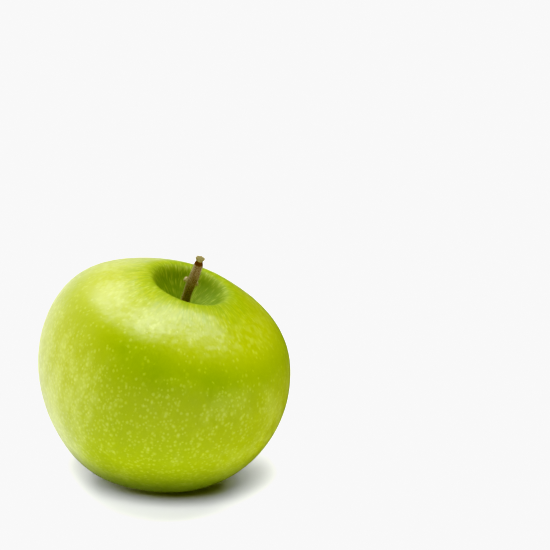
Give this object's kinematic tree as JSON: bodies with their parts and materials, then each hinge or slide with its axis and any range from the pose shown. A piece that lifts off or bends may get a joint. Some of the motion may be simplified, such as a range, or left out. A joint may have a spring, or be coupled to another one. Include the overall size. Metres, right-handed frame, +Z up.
{
  "type": "green apple",
  "caption": "Whole green apple as picked, resting on a small flat spot and leaning to one side, with its woody stem in the stem cavity and its dried calyx underneath.",
  "frame": {"origin": "middle of the small flat spot on the underside that the apple rests on", "axes": "+Z up, out of the surface it rests on; seen from the front, looking along +Y, +X is to the right; the core axis leans 16 degrees from +Z towards +X and 16 degrees towards -Y"},
  "size_m": [0.0764, 0.0789, 0.0751],
  "materials": {
    "skin": "waxy yellow-green apple skin, soft gloss, with small pale speckles that crowd towards the calyx",
    "stem": "matte brown-grey woody stem with fine pale down and a pale torn end",
    "calyx": "matte dry brown, withered sepals and stamens"
  },
  "bodies": {
    "root": {"fruit": "skin", "stem": "stem", "calyx": "calyx"}
  },
  "joints": []
}
